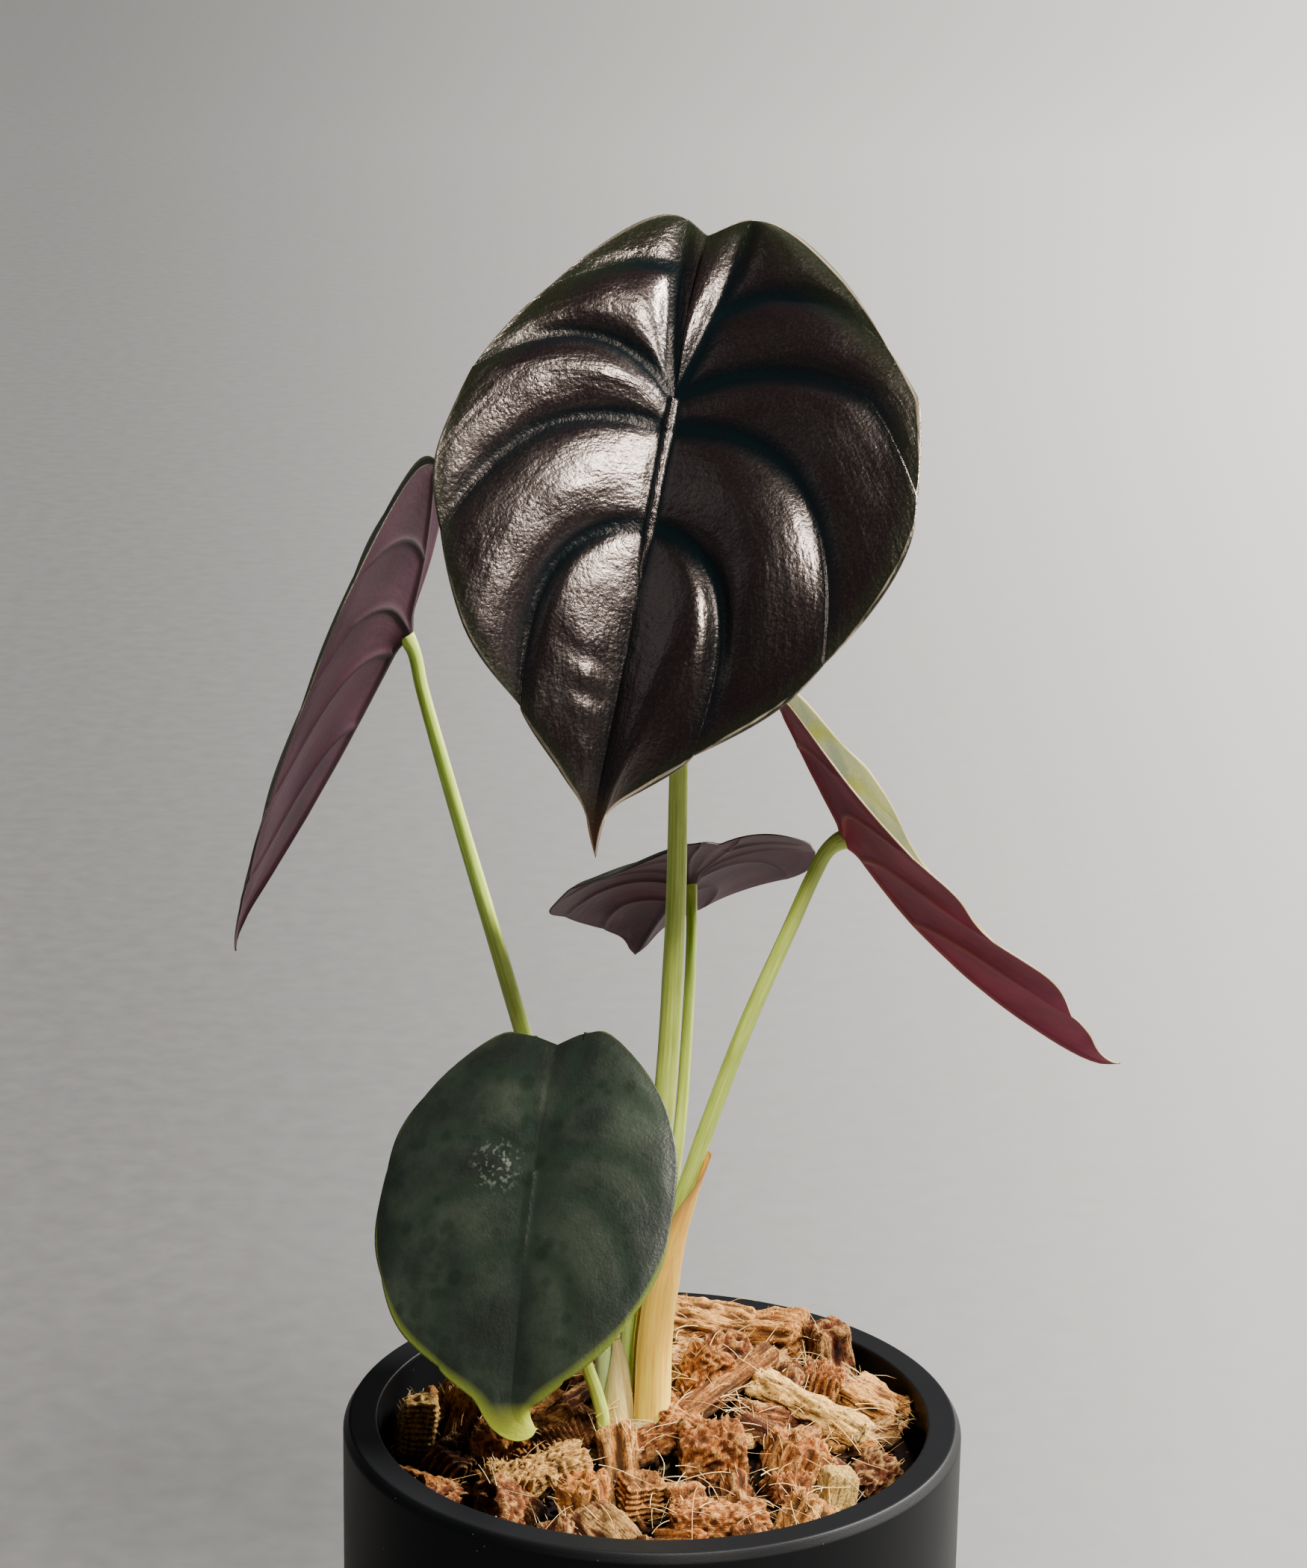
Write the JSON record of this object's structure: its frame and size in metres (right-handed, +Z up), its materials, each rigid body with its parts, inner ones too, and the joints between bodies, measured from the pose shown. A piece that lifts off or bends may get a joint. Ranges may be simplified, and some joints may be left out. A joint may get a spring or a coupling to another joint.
{
  "type": "potted red secret alocasia",
  "caption": "Small foliage plant with glossy quilted shield-shaped leaves on slim petioles, in a matte black cylinder pot filled with coir husk chips.",
  "frame": {"origin": "centre of the pot's flat underside", "axes": "+Z up along the pot's axis; the main leaf faces -Y, the viewer of the picture; +X is to that viewer's right"},
  "size_m": [0.1706, 0.1414, 0.3401],
  "materials": {
    "pot": "matte",
    "coir": "matte",
    "corm": "matte",
    "blade_dark": "satin",
    "blade_green": "satin",
    "blade_mauve": "satin",
    "blade_maroon": "satin",
    "petiole": "satin",
    "sheath_tan": "satin",
    "sheath_grey": "matte"
  },
  "bodies": {
    "root": {"pot": "pot", "coir_chips": "coir", "corm": "corm", "blade_main": "blade_dark", "blade_front": "blade_green", "blade_left": "blade_mauve", "blade_right": "blade_maroon", "blade_back": "blade_mauve", "petiole_main": "petiole", "petiole_front": "petiole", "petiole_left": "petiole", "petiole_right": "petiole", "petiole_back": "petiole", "sheath_tall": "sheath_tan", "sheath_short": "sheath_grey"}
  },
  "joints": []
}
